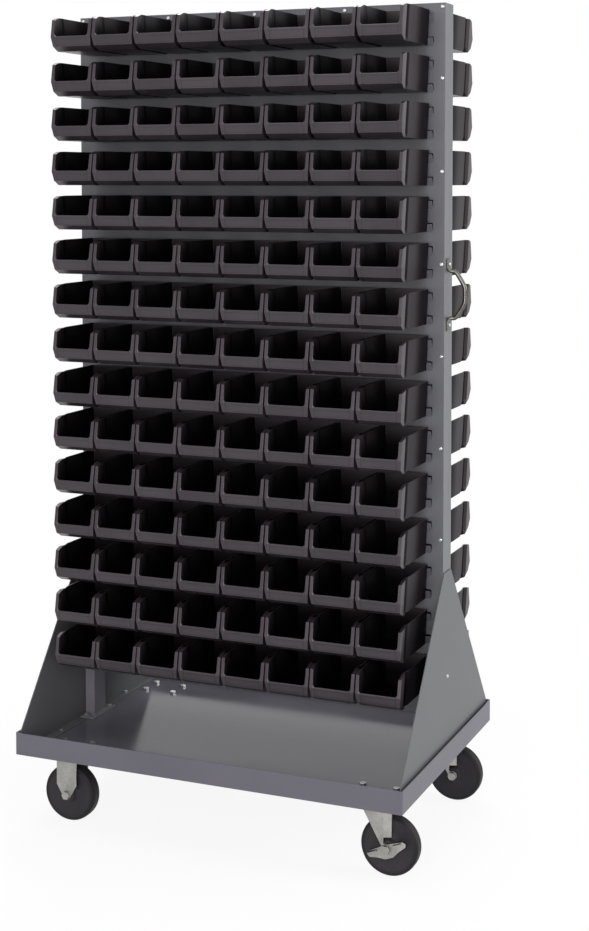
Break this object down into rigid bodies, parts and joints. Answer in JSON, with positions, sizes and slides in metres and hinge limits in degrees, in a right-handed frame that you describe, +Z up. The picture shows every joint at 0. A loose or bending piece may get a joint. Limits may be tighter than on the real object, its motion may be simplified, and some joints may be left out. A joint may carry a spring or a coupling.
{
  "type": "mobile louvered bin rack",
  "caption": "Double-sided louvered panel rack on a wheeled base tray, with rows of hopper-front plastic bins hooked on both faces and a push handle at the end.",
  "frame": {"origin": "on the floor, under the middle of the base tray", "axes": "+Z up, the front faces -Y, +X towards the end with the push handle and the swivel casters"},
  "size_m": [0.9484, 0.64, 1.8288],
  "materials": {
    "grey_paint": "gloss baked enamel",
    "panel_paint": "gloss baked enamel",
    "handle_steel": "bright zinc plate",
    "screw_zinc": "zinc plate",
    "caster_zinc": "zinc plate",
    "wheel_rubber": "moulded",
    "bin_plastic": "moulded satin"
  },
  "bodies": {
    "rack": {"base_tray": "grey_paint", "post_left": "grey_paint", "post_right": "grey_paint", "top_rail": "grey_paint", "bottom_rail": "grey_paint", "panel_front": "panel_paint", "panel_rear": "panel_paint", "end_panel_left": "panel_paint", "end_panel_right": "panel_paint", "push_handle": "handle_steel", "panel_screws": "screw_zinc", "end_screws": "screw_zinc", "frame_bolts": "screw_zinc", "caster_bolts": "screw_zinc", "rigid_forks": "caster_zinc", "rigid_axles": "caster_zinc", "swivel_plates": "caster_zinc", "king_pins": "caster_zinc"},
    "front_row_01": {"bins_front_01": "bin_plastic"},
    "front_row_02": {"bins_front_02": "bin_plastic"},
    "front_row_03": {"bins_front_03": "bin_plastic"},
    "front_row_04": {"bins_front_04": "bin_plastic"},
    "front_row_05": {"bins_front_05": "bin_plastic"},
    "front_row_06": {"bins_front_06": "bin_plastic"},
    "front_row_07": {"bins_front_07": "bin_plastic"},
    "front_row_08": {"bins_front_08": "bin_plastic"},
    "front_row_09": {"bins_front_09": "bin_plastic"},
    "front_row_10": {"bins_front_10": "bin_plastic"},
    "front_row_11": {"bins_front_11": "bin_plastic"},
    "front_row_12": {"bins_front_12": "bin_plastic"},
    "front_row_13": {"bins_front_13": "bin_plastic"},
    "front_row_14": {"bins_front_14": "bin_plastic"},
    "front_row_15": {"bins_front_15": "bin_plastic"},
    "rear_row_01": {"bins_rear_01": "bin_plastic"},
    "rear_row_02": {"bins_rear_02": "bin_plastic"},
    "rear_row_03": {"bins_rear_03": "bin_plastic"},
    "rear_row_04": {"bins_rear_04": "bin_plastic"},
    "rear_row_05": {"bins_rear_05": "bin_plastic"},
    "rear_row_06": {"bins_rear_06": "bin_plastic"},
    "rear_row_07": {"bins_rear_07": "bin_plastic"},
    "rear_row_08": {"bins_rear_08": "bin_plastic"},
    "rear_row_09": {"bins_rear_09": "bin_plastic"},
    "rear_row_10": {"bins_rear_10": "bin_plastic"},
    "rear_row_11": {"bins_rear_11": "bin_plastic"},
    "rear_row_12": {"bins_rear_12": "bin_plastic"},
    "rear_row_13": {"bins_rear_13": "bin_plastic"},
    "rear_row_14": {"bins_rear_14": "bin_plastic"},
    "rear_row_15": {"bins_rear_15": "bin_plastic"},
    "caster_front": {"swivel_fork_front": "caster_zinc", "swivel_axle_front": "caster_zinc"},
    "brake_front": {"brake_lever_front": "caster_zinc"},
    "wheel_front_swivel": {"wheel_swivel_front": "wheel_rubber"},
    "wheel_front_rigid": {"wheel_rigid_front": "wheel_rubber"},
    "caster_rear": {"swivel_fork_rear": "caster_zinc", "swivel_axle_rear": "caster_zinc"},
    "brake_rear": {"brake_lever_rear": "caster_zinc"},
    "wheel_rear_swivel": {"wheel_swivel_rear": "wheel_rubber"},
    "wheel_rear_rigid": {"wheel_rigid_rear": "wheel_rubber"}
  },
  "joints": [
    {"name": "front_row_01_lift", "type": "slide", "parent": "rack", "child": "front_row_01", "axis": [0, -0.4472, 0.8944], "range_m": [0, 0.022]},
    {"name": "front_row_02_lift", "type": "slide", "parent": "rack", "child": "front_row_02", "axis": [0, -0.4472, 0.8944], "range_m": [0, 0.022]},
    {"name": "front_row_03_lift", "type": "slide", "parent": "rack", "child": "front_row_03", "axis": [0, -0.4472, 0.8944], "range_m": [0, 0.022]},
    {"name": "front_row_04_lift", "type": "slide", "parent": "rack", "child": "front_row_04", "axis": [0, -0.4472, 0.8944], "range_m": [0, 0.022]},
    {"name": "front_row_05_lift", "type": "slide", "parent": "rack", "child": "front_row_05", "axis": [0, -0.4472, 0.8944], "range_m": [0, 0.022]},
    {"name": "front_row_06_lift", "type": "slide", "parent": "rack", "child": "front_row_06", "axis": [0, -0.4472, 0.8944], "range_m": [0, 0.022]},
    {"name": "front_row_07_lift", "type": "slide", "parent": "rack", "child": "front_row_07", "axis": [0, -0.4472, 0.8944], "range_m": [0, 0.022]},
    {"name": "front_row_08_lift", "type": "slide", "parent": "rack", "child": "front_row_08", "axis": [0, -0.4472, 0.8944], "range_m": [0, 0.022]},
    {"name": "front_row_09_lift", "type": "slide", "parent": "rack", "child": "front_row_09", "axis": [0, -0.4472, 0.8944], "range_m": [0, 0.022]},
    {"name": "front_row_10_lift", "type": "slide", "parent": "rack", "child": "front_row_10", "axis": [0, -0.4472, 0.8944], "range_m": [0, 0.022]},
    {"name": "front_row_11_lift", "type": "slide", "parent": "rack", "child": "front_row_11", "axis": [0, -0.4472, 0.8944], "range_m": [0, 0.022]},
    {"name": "front_row_12_lift", "type": "slide", "parent": "rack", "child": "front_row_12", "axis": [0, -0.4472, 0.8944], "range_m": [0, 0.022]},
    {"name": "front_row_13_lift", "type": "slide", "parent": "rack", "child": "front_row_13", "axis": [0, -0.4472, 0.8944], "range_m": [0, 0.022]},
    {"name": "front_row_14_lift", "type": "slide", "parent": "rack", "child": "front_row_14", "axis": [0, -0.4472, 0.8944], "range_m": [0, 0.022]},
    {"name": "front_row_15_lift", "type": "slide", "parent": "rack", "child": "front_row_15", "axis": [0, -0.4472, 0.8944], "range_m": [0, 0.022]},
    {"name": "rear_row_01_lift", "type": "slide", "parent": "rack", "child": "rear_row_01", "axis": [0, 0.4472, 0.8944], "range_m": [0, 0.022]},
    {"name": "rear_row_02_lift", "type": "slide", "parent": "rack", "child": "rear_row_02", "axis": [0, 0.4472, 0.8944], "range_m": [0, 0.022]},
    {"name": "rear_row_03_lift", "type": "slide", "parent": "rack", "child": "rear_row_03", "axis": [0, 0.4472, 0.8944], "range_m": [0, 0.022]},
    {"name": "rear_row_04_lift", "type": "slide", "parent": "rack", "child": "rear_row_04", "axis": [0, 0.4472, 0.8944], "range_m": [0, 0.022]},
    {"name": "rear_row_05_lift", "type": "slide", "parent": "rack", "child": "rear_row_05", "axis": [0, 0.4472, 0.8944], "range_m": [0, 0.022]},
    {"name": "rear_row_06_lift", "type": "slide", "parent": "rack", "child": "rear_row_06", "axis": [0, 0.4472, 0.8944], "range_m": [0, 0.022]},
    {"name": "rear_row_07_lift", "type": "slide", "parent": "rack", "child": "rear_row_07", "axis": [0, 0.4472, 0.8944], "range_m": [0, 0.022]},
    {"name": "rear_row_08_lift", "type": "slide", "parent": "rack", "child": "rear_row_08", "axis": [0, 0.4472, 0.8944], "range_m": [0, 0.022]},
    {"name": "rear_row_09_lift", "type": "slide", "parent": "rack", "child": "rear_row_09", "axis": [0, 0.4472, 0.8944], "range_m": [0, 0.022]},
    {"name": "rear_row_10_lift", "type": "slide", "parent": "rack", "child": "rear_row_10", "axis": [0, 0.4472, 0.8944], "range_m": [0, 0.022]},
    {"name": "rear_row_11_lift", "type": "slide", "parent": "rack", "child": "rear_row_11", "axis": [0, 0.4472, 0.8944], "range_m": [0, 0.022]},
    {"name": "rear_row_12_lift", "type": "slide", "parent": "rack", "child": "rear_row_12", "axis": [0, 0.4472, 0.8944], "range_m": [0, 0.022]},
    {"name": "rear_row_13_lift", "type": "slide", "parent": "rack", "child": "rear_row_13", "axis": [0, 0.4472, 0.8944], "range_m": [0, 0.022]},
    {"name": "rear_row_14_lift", "type": "slide", "parent": "rack", "child": "rear_row_14", "axis": [0, 0.4472, 0.8944], "range_m": [0, 0.022]},
    {"name": "rear_row_15_lift", "type": "slide", "parent": "rack", "child": "rear_row_15", "axis": [0, 0.4472, 0.8944], "range_m": [0, 0.022]},
    {"name": "caster_front_swivel", "type": "hinge", "parent": "rack", "child": "caster_front", "pos_m": [0.365, -0.227, 0.15], "axis": [0, 0, 1], "continuous": true},
    {"name": "brake_front_toggle", "type": "hinge", "parent": "caster_front", "child": "brake_front", "pos_m": [0.401, -0.227, 0.0635], "axis": [0, 1, 0], "range_deg": [0, 44]},
    {"name": "wheel_front_swivel_spin", "type": "hinge", "parent": "caster_front", "child": "wheel_front_swivel", "pos_m": [0.401, -0.227, 0.0635], "axis": [0, 1, 0], "continuous": true},
    {"name": "wheel_front_rigid_spin", "type": "hinge", "parent": "rack", "child": "wheel_front_rigid", "pos_m": [-0.365, -0.227, 0.0635], "axis": [0, 1, 0], "continuous": true},
    {"name": "caster_rear_swivel", "type": "hinge", "parent": "rack", "child": "caster_rear", "pos_m": [0.365, 0.227, 0.15], "axis": [0, 0, 1], "continuous": true},
    {"name": "brake_rear_toggle", "type": "hinge", "parent": "caster_rear", "child": "brake_rear", "pos_m": [0.401, 0.227, 0.0635], "axis": [0, 1, 0], "range_deg": [0, 44]},
    {"name": "wheel_rear_swivel_spin", "type": "hinge", "parent": "caster_rear", "child": "wheel_rear_swivel", "pos_m": [0.401, 0.227, 0.0635], "axis": [0, 1, 0], "continuous": true},
    {"name": "wheel_rear_rigid_spin", "type": "hinge", "parent": "rack", "child": "wheel_rear_rigid", "pos_m": [-0.365, 0.227, 0.0635], "axis": [0, 1, 0], "continuous": true}
  ]
}
